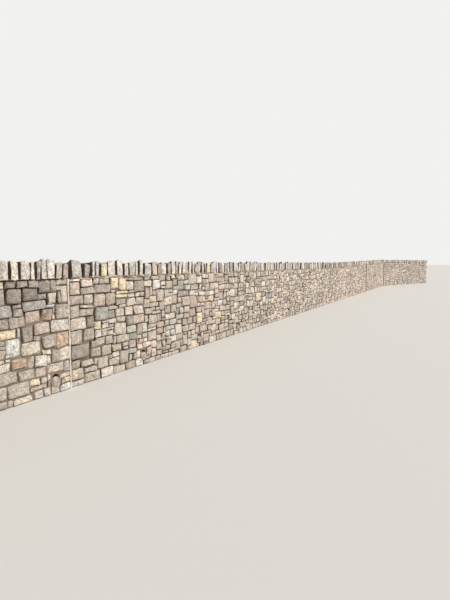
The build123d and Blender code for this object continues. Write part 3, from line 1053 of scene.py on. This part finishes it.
def coping_mortar(bay):
    """Rings along u, each a rounded box: v and z are its middle plus half its size times the
    places a and b. From its foot to half its height its front and back go in to the depth of
    the gaps. u runs evenly between the bay's end planes."""
    a, b = rounded_box(BED_POWER)
    at_foot = b < BED_FOOT
    bed_recess = POINTED_BED_RECESS if bay in POINTED_BAYS else BED_RECESS
    front = FACE - COPING_OVERHANG + np.where(at_foot, bed_recess, GAP_RECESS)
    back = BACK + COPING_OVERHANG - np.where(at_foot, 0, GAP_RECESS - BED_RECESS)
    share = np.linspace(0, 1, BED_STATIONS)[:, None]
    v = np.broadcast_to((front + back) / 2 - a * (back - front) / 2, (BED_STATIONS, OUTLINE_SIDES))
    low, high = coping_ends(bay, v)
    low, high = low + BED_RECESS, high - BED_RECESS
    u = low + (high - low) * share
    height = COPING_BED + COPING_HEIGHT - BED_DROP
    z = top_at(bay, u) + height * (1 + b) / 2
    s = u + (bay - 1) * BAY_LENGTH
    z = z + BED_ROUGH * (b > 0) * wander(s, v, *BED_TOP_WANDER)
    v = v + BED_ROUGH * (a > 0) * wander(s, z, *BED_FRONT_WANDER)
    pointed = (a > 0) & at_foot & (bay in POINTED_BAYS)
    v = v + POINTING_UNEVEN * pointed * wander(s, 0, *POINTING_WANDER)
    z = z - POINTING_DROP * pointed * np.clip(USUAL_DROP + wander(s, 0, *DROP_WANDER), 0, 1)
    poles = [[row.mean() for row in (u[i], v[i], z[i])] for i in (0, -1)]
    rings = np.stack([u, v, z], axis=-1).reshape(-1, 3)
    points = np.concatenate([poles[:1], rings, poles[1:]])
    colour = linear(POINTING_COLOUR if bay in POINTED_BAYS else MORTAR_COLOUR)[:3]
    faces = ring_faces(BED_STATIONS, OUTLINE_SIDES)
    return patch(placed(bay, *points.T), faces, MORTAR, colour)


# %% [markdown]
# The weep pipes are plain plastic soil pipe. Each is a ring-shaped solid: a small profile of
# the pipe's wall, turned round its axis.

# %% Weep pipes
PIPE_WALL = 0.0032
PIPE_SIDES = 32
PIPE_LIP = 0.0008
PIPE_FRONT = FACE + 0.016
PIPE, SILT = 0, 1


def weep_pipe(bay, w):
    """Radius and v of the profile, from the outside of the back round the mouth to the bore."""
    bore = PIPE_RADIUS - PIPE_WALL
    profile = np.array([
        (PIPE_RADIUS, BACK), (PIPE_RADIUS, PIPE_FRONT + PIPE_LIP),
        (PIPE_RADIUS - PIPE_LIP, PIPE_FRONT), (bore + PIPE_LIP, PIPE_FRONT),
        (bore, PIPE_FRONT + PIPE_LIP), (bore, BACK),
    ])
    t = 2 * math.pi * np.arange(PIPE_SIDES) / PIPE_SIDES
    radius, v = profile[:, :1], profile[:, 1:]
    points = placed(bay, w + radius * np.cos(t), v, WEEP_HEIGHT + radius * np.sin(t))
    return patch(points, [sheet_faces(len(profile), PIPE_SIDES, True, True)], PIPE)


# %% [markdown]
# Behind each mouth lies silt that has washed through, so only a dark crescent stays open, as
# on a wall that has drained for a while. It could be simulated grain by grain, but a heap this
# small is one thin sheet over another, bent by a few curves.

# %% Silt
SILT_DEPTH = 0.170
SILT_AT_MOUTH, SILT_INSIDE = 0.66, 0.35
SILT_HEAP = 0.17
SILT_REACH = 0.030
SILT_OVER_LIP, SILT_SPREAD = 0.12, 0.95
SILT_DROP = 0.050
SILT_LUMPS = 0.0046
SILT_GRID = (13, 16)
SILT_CLEAR, SILT_THIN = 0.995, 0.0004
BEHIND_LIP = 0.002
FALL_POWER, SLIDE_POWER = 0.6, 0.8
DROP_AT_SIDE, SLUMP_AT_SIDE = 0.25, 0.5
SLUMP_TURN = 0.75 * math.pi
SILT_SEED = 500


def silt(bay, w, dice):
    """A sheet over the silt and one under it. From the mouth it falls inwards over the bore's
    own curve, by "run" from 0 to 1, heaped up in the middle by SILT_HEAP of the bore's height.
    Outwards, "slid" from 0 to 1, it has slumped over the pipe's edge in a ragged tongue that
    hides the lower lip and ends against the stones. "middle" is 1 half-way across and 0 at
    the sides, where the tongue drops and slumps less."""
    bore = PIPE_RADIUS - PIPE_WALL
    columns, rows = SILT_GRID
    across, run = np.meshgrid(np.linspace(-1, 1, columns), np.linspace(-0.5, 1, rows))
    run, slid = np.maximum(run, 0), np.maximum(-2 * run, 0)
    middle = 1 - across ** 2
    fill = SILT_AT_MOUTH + (SILT_INSIDE - SILT_AT_MOUTH) * run ** FALL_POWER
    side = bore * (2 * (fill - SILT_HEAP) - 1)
    level = side + 2 * bore * SILT_HEAP * middle
    u = across * np.sqrt(bore ** 2 - side ** 2) * SILT_CLEAR
    dropped = SILT_DROP * slid * (DROP_AT_SIDE + (1 - DROP_AT_SIDE) * middle)
    bottom = -np.sqrt(bore ** 2 - u ** 2) + SILT_THIN - dropped
    slump = np.sin(SLUMP_TURN * slid) * (SLUMP_AT_SIDE + (1 - SLUMP_AT_SIDE) * middle)
    lumps = dice.normal(0, SILT_LUMPS, (3,) + u.shape)
    front = PIPE_FRONT + BEHIND_LIP + run * SILT_DEPTH - SILT_REACH * slump
    top = level + (bottom - level) * slid ** SLIDE_POWER + lumps[0] * middle
    top = np.maximum(top, bottom + SILT_THIN)
    u = u * (1 + slid * (SILT_OVER_LIP + SILT_SPREAD * middle)) + lumps[1] * (slid > 0)
    over = placed(bay, w + u, front + lumps[2] * slump, WEEP_HEIGHT + top)
    under = placed(bay, w + u, front + SILT_REACH * slump, WEEP_HEIGHT + bottom)
    points, faces = closed_between(over, under, sheet_faces(*u.shape))
    return patch(points, faces, SILT)


def drains(bay):
    """The bay's pipes with the silt in them."""
    dice = np.random.default_rng(SILT_SEED + bay)
    return [made for w in weeps(bay) for made in (weep_pipe(bay, w), silt(bay, w, dice))]


# %% [markdown]
# A movement joint is closed with a bead of sealant, gunned in and pulled hollow with a wetted
# tool. It wanders a little in width where it was smeared on the stones beside it. Where the
# next bay begins proud, the bead is drawn out to it and coloured near black, as painted shade
# on the step's side.

# %% Sealant bead
BEAD_FRONT = 0.004
BEAD_BACK = 0.020
BEAD_HOLLOW = 0.003
BEAD_HALF = 0.0078
BEAD_WOBBLE = 0.0018
BEAD_WANDER = (0.22, 31)
BEAD_GRID = (7, 60)


def sealant_bead(bay):
    """A sheet across the joint after a bay and up it, and one behind. a runs from -1 to 1
    across, and the hollow is deepest in the middle, as 1 - a a."""
    columns, rows = BEAD_GRID
    a, share = np.meshgrid(np.linspace(-1, 1, columns), np.linspace(0, 1, rows))
    z = share * top_at(bay, BAY_LENGTH)
    half = BEAD_HALF + BEAD_WOBBLE * wander(a + bay, z, *BEAD_WANDER)
    lean = BEND_LEAN if bay == BENT_BAY - 1 else 0
    # Before a proud bay the bead covers the step's side, near black as painted shade.
    step = PROUD_START if bay + 1 in PROUD_BAYS else 0
    front = FACE + BEAD_FRONT + BEAD_HOLLOW * (1 - a * a) - step * (1 + a) / 2
    sheets = [placed(bay, BAY_LENGTH + v * lean + a * half, v, z)
              for v in (front, np.full_like(a, FACE + BEAD_BACK))]
    points, faces = closed_between(*sheets, sheet_faces(*a.shape))
    return [patch(points, faces)]


# %% [markdown]
# At a free end the leaf turns the corner and closes the end of the concrete. Corner stones
# lie by turns long on the face and long on the end, so that each course ties the two sides
# together. They show two sides, so they are whole blocks, as the coping stones are.

# %% Corner stones
QUOIN_HEIGHTS = (8, 13)
# Units on the face, on the end and at the back, by turns
QUOIN_SIZES = [(11, 16, 8), (19, 11, 12)]
QUOIN_LEAST = 8
QUOIN_JOINT = 0.006
QUOIN_ROUGH = 0.003
QUOIN_SEED = 600
RETURN_DEPTH = 0.175
END_UNITS = round((BACK - FACE) / UNIT)


def quoin_courses(bay):
    """Courses as (low, high, units on the face, units on the end, units at the back)."""
    dice = random.Random(QUOIN_SEED + bay)
    courses, low = [], 0
    while low < BEDS:
        high = low + dice.randint(*QUOIN_HEIGHTS)
        high = BEDS if BEDS - high < QUOIN_LEAST else high
        courses.append((low, high, *QUOIN_SIZES[len(courses) % 2]))
        low = high
    return courses


def quoins(bay, dice):
    """Blocks at the front and back corners of the free end. Inner sides give up a joint."""
    corners, fronts, backs = [], [], []
    bed = WALL_HEIGHT / BEDS
    for low, high, on_face, on_end, at_back in quoin_courses(bay):
        for length, front, back in ((on_face * UNIT, FACE, FACE + on_end * UNIT),
                                    (RETURN_DEPTH, BACK - at_back * UNIT, BACK)):
            inner, foot, top = (length - QUOIN_JOINT, low * bed + QUOIN_JOINT,
                                high * bed - QUOIN_JOINT)
            ends = (0, inner) if bay == BAYS[0] else (BAY_LENGTH - inner, BAY_LENGTH)
            corners.append([(ends[0], foot), (ends[1], foot), (ends[1], top), (ends[0], top)])
            fronts.append(front + (0 if front == FACE else QUOIN_JOINT))
            backs.append(back - (0 if back == BACK else QUOIN_JOINT))
    corners = np.array(corners) + dice.normal(0, QUOIN_ROUGH, (len(corners), 4, 2))
    tint = tints(random_names(len(corners), dice, FACE_SHARE), bay, dice)
    points, faces, tint, rim = block_stones(corners, np.array(fronts), np.array(backs), tint, dice)
    u, v, z = np.moveaxis(points, -1, 0)
    return patch(placed(bay, u, v, raised(bay, u, z)), faces, LIMESTONE, tint, rim)


# %% [markdown]
# Small rubble fills the end between the corner stones at the front and those at the back. It
# is laid by the same rules as the face, on an elevation of its own that is then turned to
# stand across the wall, with a slab of mortar behind it.

# %% The closed ends
END_WANDER = (0.2, 41)
END_GRID = (7, 24)
END_RUBBLE_SEED, END_CHINK_SEED, END_SEED = 700, 750, 800


def end_of(bay):
    """The end's elevation: along runs to the viewer's right, out is away from the wall."""
    if bay == BAYS[0]:
        return lambda along, out, z: placed(bay, -out, BACK - along, z)
    return lambda along, out, z: placed(bay, BAY_LENGTH + out, FACE + along, z)


def end_rubble(bay, dice):
    """Small rubble between the corner stones of the end."""
    free = np.ones((BEDS, END_UNITS), bool)
    for low, high, _, on_end, at_back in quoin_courses(bay):
        left, right = (at_back, on_end) if bay == BAYS[0] else (on_end, at_back)
        free[low:high, :left] = False
        free[low:high, END_UNITS - right:] = False
    rows, chinks = lay_rubble(free, random.Random(END_RUBBLE_SEED + bay))
    close_chinks(rows, chinks, random.Random(END_CHINK_SEED + bay))
    corners = with_joints(elevation_corners(rows, 0, BACK - FACE, END_UNITS), dice)
    names = random_names(len(rows), dice, FACE_SHARE)
    points, faces, tint, rim = face_stones(corners, names, bay, dice, lambda flat: flat)
    along, out, z = np.moveaxis(points, -1, 0)
    top = raised(bay, 0 if bay == BAYS[0] else BAY_LENGTH, z)
    return patch(end_of(bay)(along, out, top), faces, LIMESTONE, tint, rim)


def end_mortar(bay):
    """The body of the return, a little behind the end and the back."""
    columns, rows = END_GRID
    across, z = np.meshgrid(np.linspace(0, 1, columns), np.linspace(0, WALL_HEIGHT, rows))
    low, high = LEAF_BACK - FACE, BACK - FACE - MORTAR_DEPTH
    if bay == BAYS[0]:
        low, high = MORTAR_DEPTH, BACK - LEAF_BACK
    along = low + across * (high - low)
    top = raised(bay, 0 if bay == BAYS[0] else BAY_LENGTH, z)
    front = -MORTAR_DEPTH - MORTAR_UNEVEN * wander(along, z, *END_WANDER)
    sheets = [end_of(bay)(along, out, top) for out in (front, np.full_like(front, -RETURN_DEPTH))]
    points, faces = closed_between(*sheets, sheet_faces(*across.shape))
    return patch(points, faces, MORTAR, linear(MORTAR_COLOUR)[:3])


def closed_end(bay):
    """Corner stones, rubble and mortar of one free end."""
    dice = np.random.default_rng(END_SEED + bay)
    return [quoins(bay, dice), end_rubble(bay, dice), end_mortar(bay)]


# %% [markdown]
# The finishes come next. Patterns read Object coordinates, which are metres in the wall's own
# frame, so a pattern's scale is one over its real size. Grain finer than about 10 mm is too
# small to see from the camera, so the speckle is drawn as coarse as 19 mm. A faint grit of a
# few millimetres, which is the true size, is there for a closer look. Beside each pattern's
# size stands what its values do: from and to which value it is read, and to which shades or
# shares those two are carried.

# %% Helpers for patterns
def per_metre(size_mm):
    """The texture scale that gives features of about this real size."""
    return 1000 / size_mm


def new_finish(name, roughness):
    """An empty material with its shader and Object coordinates."""
    finish = bpy.data.materials.new(name)
    finish.use_nodes = True
    tree = finish.node_tree
    shader = tree.nodes["Principled BSDF"]
    shader.inputs["Roughness"].default_value = roughness
    return finish, tree, shader, add(tree, "ShaderNodeTexCoord", {}).outputs["Object"]


def noise(tree, place, size_mm, detail):
    """The value of a noise with features of the given size and so many finer octaves."""
    return add(tree, "ShaderNodeTexNoise",
               {"Vector": place, "Scale": per_metre(size_mm), "Detail": detail}).outputs["Fac"]


def ranged(tree, value, low, high, to_low, to_high):
    """A value's range from low to high, carried over to another range and held inside it."""
    sockets = {"Value": value, "From Min": low, "From Max": high,
               "To Min": to_low, "To Max": to_high}
    return add(tree, "ShaderNodeMapRange", sockets).outputs["Result"]


def times(tree, *values):
    """Product of several values."""
    product = values[0]
    for value in values[1:]:
        made = add(tree, "ShaderNodeMath", {0: product, 1: value}, operation="MULTIPLY")
        product = made.outputs[0]
    return product


def shaded(tree, colour, shade):
    """A colour made lighter or darker by a value around 1."""
    return add(tree, "ShaderNodeVectorMath", {0: colour, "Scale": shade},
               operation="SCALE").outputs["Vector"]


def blended(tree, factor, first, second):
    """From the first colour at 0 to the second at 1."""
    mixed = add(tree, "ShaderNodeMix", {"Factor": factor}, data_type="RGBA")
    for socket, colour in zip((mixed.inputs[6], mixed.inputs[7]), (first, second)):
        if isinstance(colour, bpy.types.NodeSocket):
            tree.links.new(colour, socket)
        else:
            socket.default_value = colour
    return mixed.outputs[2]


def relief(tree, shader, *layers):
    """Bump from layers of (height value, depth in metres), each on top of the last."""
    normal = None
    for height, depth in layers:
        sockets = {"Height": height, "Distance": depth}
        if normal:
            sockets["Normal"] = normal
        normal = add(tree, "ShaderNodeBump", sockets).outputs["Normal"]
    tree.links.new(normal, shader.inputs["Normal"])


# %% [markdown]
# Limestone that was split, not sawn, is dull and rough. Its colour is uneven over a few
# centimetres, speckled with darker grains and fossils, and faintly striped along its bed. Rain
# and iron leave a few rusty patches, the mason's mortar smears its edges, and painted shade
# darkens a side where it runs deep into a joint. The bed runs level in the face and upright in
# the coping, whose stones stand on edge.

# %% Split limestone
STONE_ROUGHNESS = 0.9
MOTTLE_MM, MOTTLE_SHADES = 52, (0.30, 0.70, 0.72, 1.26)
SPECKLE_MM, SPECKLE_SHADES = 19, (0.34, 0.66, 0.65, 1.30)
BEDDING_MM, BEDDING_SHADES = 90, (0.35, 0.65, 0.93, 1.06)
GRIT_MM, GRIT_SHADES = 4, (0.30, 0.70, 0.93, 1.07)
STAIN_MM, STAIN_SHARES = 210, (0.58, 0.74, 0, 0.24)
SMEAR_MM, SMEAR_SHARES = 26, (0.46, 0.66, 0, 0.42)
# Painted shade: rim values from 1 to 1.5 are carried to shares of the dark colour below
PAINTED_SHADE_SHARES = (1.0, 1.5, 0, 0.95)
MOTTLE_DEPTH, SPECKLE_DEPTH, GRIT_DEPTH = 0.014, 0.008, 0.0015
LEVEL_BED, UPRIGHT_BED = (1, 1, 7), (6, 1, 1)
STAIN_COLOUR = "#A98A6B"
# The near-black brown of the painted shade in joints and gaps
PAINTED_SHADE_COLOUR = "#544A40"


def split_limestone(name, bedding):
    """Tint times mottle, speckle and bedding; stains; smears at the rim; painted shade past it."""
    finish, tree, shader, place = new_finish(name, STONE_ROUGHNESS)
    tint = add(tree, "ShaderNodeAttribute", {}, attribute_name="tint").outputs["Color"]
    rim = add(tree, "ShaderNodeAttribute", {}, attribute_name="rim").outputs["Fac"]
    mottle = noise(tree, place, MOTTLE_MM, detail=5)
    speckle = noise(tree, place, SPECKLE_MM, detail=3)
    grit = noise(tree, place, GRIT_MM, detail=2)
    along_bed = add(tree, "ShaderNodeMapping", {"Vector": place, "Scale": bedding}).outputs[0]
    beds = noise(tree, along_bed, BEDDING_MM, detail=3)
    shade = times(tree, ranged(tree, mottle, *MOTTLE_SHADES),
                  ranged(tree, speckle, *SPECKLE_SHADES),
                  ranged(tree, beds, *BEDDING_SHADES),
                  ranged(tree, grit, *GRIT_SHADES))
    base = shaded(tree, tint, shade)
    stain = ranged(tree, noise(tree, place, STAIN_MM, detail=4), *STAIN_SHARES)
    base = blended(tree, stain, base, linear(STAIN_COLOUR))
    smear = ranged(tree, noise(tree, place, SMEAR_MM, detail=2), *SMEAR_SHARES)
    smear = times(tree, smear, ranged(tree, rim, 0, 1, 0, 1))
    base = blended(tree, smear, base, linear(MORTAR_COLOUR))
    # Painted shade: deep in the joints and the coping's gaps the colour goes to near-black brown.
    base = blended(tree, ranged(tree, rim, *PAINTED_SHADE_SHARES), base, linear(PAINTED_SHADE_COLOUR))
    tree.links.new(base, shader.inputs["Base Color"])
    relief(tree, shader, (mottle, MOTTLE_DEPTH), (speckle, SPECKLE_DEPTH), (grit, GRIT_DEPTH))
    return finish


# %% [markdown]
# Bedding mortar is sand, cement and a little lime, struck with the trowel's edge and brushed
# when half dry. It is matt, grey-brown and sandy, a little darker where it stays damp.

# %% Brushed mortar
MORTAR_ROUGHNESS = 0.95
SAND_MM, SAND_SHADES = 5, (0.3, 0.7, 0.86, 1.12)
DAMP_MM, DAMP_SHADES = 160, (0.35, 0.65, 0.82, 1.1)
LUMP_MM = 22
LUMP_DEPTH, SAND_DEPTH = 0.006, 0.0015


def brushed_mortar():
    """The batch's own tint times sand grain, darker in damp patches."""
    finish, tree, shader, place = new_finish("brushed_mortar", MORTAR_ROUGHNESS)
    batch = add(tree, "ShaderNodeAttribute", {}, attribute_name="tint").outputs["Color"]
    sand = noise(tree, place, SAND_MM, detail=2)
    damp = noise(tree, place, DAMP_MM, detail=4)
    shade = times(tree, ranged(tree, sand, *SAND_SHADES), ranged(tree, damp, *DAMP_SHADES))
    base = shaded(tree, batch, shade)
    tree.links.new(base, shader.inputs["Base Color"])
    relief(tree, shader, (noise(tree, place, LUMP_MM, detail=3), LUMP_DEPTH), (sand, SAND_DEPTH))
    return finish


# %% [markdown]
# The stem behind is concrete cast against plywood forms. It is grey and nearly smooth, with
# the joints of the forms' sheets as fine fins, a grid of plugged tie holes, small blow holes
# with painted shade in them, and pale streaks where water ran down. The bent bay's copy turns
# the pattern with the bay.

# %% Formed concrete
CONCRETE_COLOUR = "#ABA79F"
CONCRETE_ROUGHNESS = 0.8
SHEET_LENGTH = 1.22
SHEET_HEIGHT = 0.61
FIN_WIDTH, FIN_SOFTNESS = 0.006, 0.2
FIRST_SHEET, NEXT_SHEET, FIN_SHADE = [(grey, grey, grey, 1) for grey in (0.97, 1, 0.80)]
TIE_SPACING = 0.61
TIE_RADIUS = 0.012
TIE_SHADES = (TIE_RADIUS * 0.8, TIE_RADIUS, 0.62, 1)
# The blow holes darken the colour too: painted shade inside them
BLOW_HOLE_MM, BLOW_HOLE_SHADES = 30, (0.05, 0.13, 0.7, 1)
CLOUD_MM, CLOUD_SHADES = 380, (0.3, 0.7, 0.84, 1.10)
STREAK_MM, STREAK_SHADES = 120, (0.35, 0.7, 0.90, 1.08)
STREAK_STRETCH = (1, 1, 0.12)
CEMENT_MM, CEMENT_SHADES = 12, (0.3, 0.7, 0.95, 1.05)
FIN_DEPTH, TIE_DEPTH, BLOW_HOLE_DEPTH, CLOUD_DEPTH = 0.003, 0.004, 0.002, 0.004


def formed_concrete(name, turn):
    """Grey times cloudiness and streaks, with fins, tie holes and blow holes as relief."""
    finish, tree, shader, place = new_finish(name, CONCRETE_ROUGHNESS)
    level = add(tree, "ShaderNodeMapping", {"Vector": place, "Rotation": (0, 0, turn)}).outputs[0]
    parts = add(tree, "ShaderNodeSeparateXYZ", {0: level})
    flat = add(tree, "ShaderNodeCombineXYZ", {"X": parts.outputs["X"], "Y": parts.outputs["Z"]})
    sheets = add(tree, "ShaderNodeTexBrick", {
        "Vector": flat.outputs[0], "Scale": 1.0, "Brick Width": SHEET_LENGTH,
        "Row Height": SHEET_HEIGHT, "Mortar Size": FIN_WIDTH / 2, "Mortar Smooth": FIN_SOFTNESS,
        "Color1": FIRST_SHEET, "Color2": NEXT_SHEET, "Mortar": FIN_SHADE}, offset=0.0)
    wrapped = add(tree, "ShaderNodeVectorMath", {
        0: flat.outputs[0], 1: (TIE_SPACING / 2,) * 3, 2: (-TIE_SPACING / 2,) * 3},
        operation="WRAP")
    flattened = add(tree, "ShaderNodeVectorMath", {0: wrapped.outputs[0], 1: (1, 1, 0)},
                    operation="MULTIPLY")
    from_tie = add(tree, "ShaderNodeVectorMath", {0: flattened.outputs[0]}, operation="LENGTH")
    tie = ranged(tree, from_tie.outputs["Value"], *TIE_SHADES)
    blow = add(tree, "ShaderNodeTexVoronoi", {"Vector": place, "Scale": per_metre(BLOW_HOLE_MM)})
    # Painted shade in the blow holes, which also serve as relief
    blow = ranged(tree, blow.outputs["Distance"], *BLOW_HOLE_SHADES)
    cloud = noise(tree, place, CLOUD_MM, detail=5)
    tall = add(tree, "ShaderNodeMapping", {"Vector": place, "Scale": STREAK_STRETCH}).outputs[0]
    streak = noise(tree, tall, STREAK_MM, detail=4)
    cement = noise(tree, place, CEMENT_MM, detail=2)
    shade = times(tree, ranged(tree, cloud, *CLOUD_SHADES), tie, blow,
                  ranged(tree, streak, *STREAK_SHADES), ranged(tree, cement, *CEMENT_SHADES))
    tinted = add(tree, "ShaderNodeVectorMath", {
        0: sheets.outputs["Color"], 1: linear(CONCRETE_COLOUR)[:3]}, operation="MULTIPLY")
    tree.links.new(shaded(tree, tinted.outputs[0], shade), shader.inputs["Base Color"])
    relief(tree, shader, (sheets.outputs["Fac"], FIN_DEPTH), (tie, TIE_DEPTH),
           (blow, BLOW_HOLE_DEPTH), (cloud, CLOUD_DEPTH))
    return finish


# %% [markdown]
# Small things have finishes of their own: moulded plastic pipe, silt, the rubbery bead, a
# near-black copy of it that is painted shade, and the bitumen-soaked fibre board that fills the
# joints behind it.

# %% Pipe, silt, bead and board
PIPE_ROUGHNESS = 0.45
DUST_MM, DUST_SHARES = 30, (0.4, 0.7, 0, 0.5)
MOULD_MM, MOULD_DEPTH = 9, 0.0003
COARSE_FROM, COARSE_TO = 0.35, 0.65
FINE_SHADES = (0.3, 0.7, 0.88, 1.10)
PIPE_COLOUR = "#6B5F56"
SILT_COLOUR = "#B7AA9C"
BEAD_COLOUR = "#F0E5D6"
# Near black: painted shade on the step's side before the proud bays
BEAD_PAINTED_SHADE_COLOUR = "#453C34"
BOARD_COLOUR = "#4E4339"


def moulded_pipe():
    """Smooth plastic with a thin film of dust."""
    finish, tree, shader, place = new_finish("moulded_upvc", PIPE_ROUGHNESS)
    dust = ranged(tree, noise(tree, place, DUST_MM, detail=4), *DUST_SHARES)
    colour = blended(tree, dust, linear(PIPE_COLOUR), linear(SILT_COLOUR))
    tree.links.new(colour, shader.inputs["Base Color"])
    relief(tree, shader, (noise(tree, place, MOULD_MM, detail=2), MOULD_DEPTH))
    return finish


def grainy(name, hex_colour, roughness, coarse_mm, fine_mm, depth, patchy=(0.80, 1.14)):
    """One colour, uneven at two sizes, with relief to match. patchy is the coarse one's range."""
    finish, tree, shader, place = new_finish(name, roughness)
    coarse, fine = noise(tree, place, coarse_mm, detail=4), noise(tree, place, fine_mm, detail=2)
    shade = times(tree, ranged(tree, coarse, COARSE_FROM, COARSE_TO, *patchy),
                  ranged(tree, fine, *FINE_SHADES))
    tree.links.new(shaded(tree, linear(hex_colour)[:3], shade), shader.inputs["Base Color"])
    relief(tree, shader, (coarse, depth), (fine, depth / 4))
    return finish


# %% [markdown]
# Everything is made now. Each new piece takes the place of its plain body, and the bodies
# that stay, the concrete and the boards, only get a finish.

# %% All pieces
limestone = split_limestone("split_limestone", LEVEL_BED)
coping_limestone = split_limestone("coping_limestone", UPRIGHT_BED)
mortar = brushed_mortar()
pipe = moulded_pipe()
washed_silt = grainy("washed_silt", SILT_COLOUR, roughness=0.95, coarse_mm=38, fine_mm=9,
                     depth=0.014, patchy=(0.62, 1.22))
bead = grainy("sealant_bead", BEAD_COLOUR, roughness=0.6, coarse_mm=60, fine_mm=8, depth=0.001)
shade_painted_bead = grainy("sealant_bead_painted_shade", BEAD_PAINTED_SHADE_COLOUR, roughness=0.8, coarse_mm=60,
                   fine_mm=8, depth=0.001)
board = grainy("bitumen_fibre_board", BOARD_COLOUR, roughness=0.95, coarse_mm=20, fine_mm=3,
               depth=0.002)
concrete = formed_concrete("formed_concrete", 0)
turned_concrete = formed_concrete("formed_concrete_bent_bay", BEND)

for bay in BAYS:
    make_piece(f"rubble_face_{bay}", facing(bay), [limestone, mortar], "rubble_stone",
               f"stone_facing_{bay}")
    make_piece(f"coping_row_{bay}", [coping_stones(bay), coping_mortar(bay)],
               [coping_limestone, mortar], "coping_stone", f"coping_{bay}")
    make_piece(f"drains_{bay}", drains(bay), [pipe, washed_silt], "upvc_pipe", f"weep_pipes_{bay}")
for bay in BAYS[:-1]:
    # Before a proud bay the bead is near black: painted shade on the step's side.
    made_of = shade_painted_bead if bay + 1 in PROUD_BAYS else bead
    make_piece(f"sealant_bead_{bay}", sealant_bead(bay), [made_of], "sealant",
               f"joint_sealant_{bay}")
for bay, side in zip(FREE_ENDS, ("left", "right")):
    make_piece(f"stone_end_{side}", closed_end(bay), [limestone, mortar], "rubble_stone",
               f"end_return_{side}")

for name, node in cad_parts.items():
    if name.startswith("backing_wall"):
        node.data.materials.clear()
        node.data.materials.append(turned_concrete if name.endswith(str(BENT_BAY)) else concrete)
    if name.startswith("joint_filler"):
        node.data.materials.clear()
        node.data.materials.append(board)
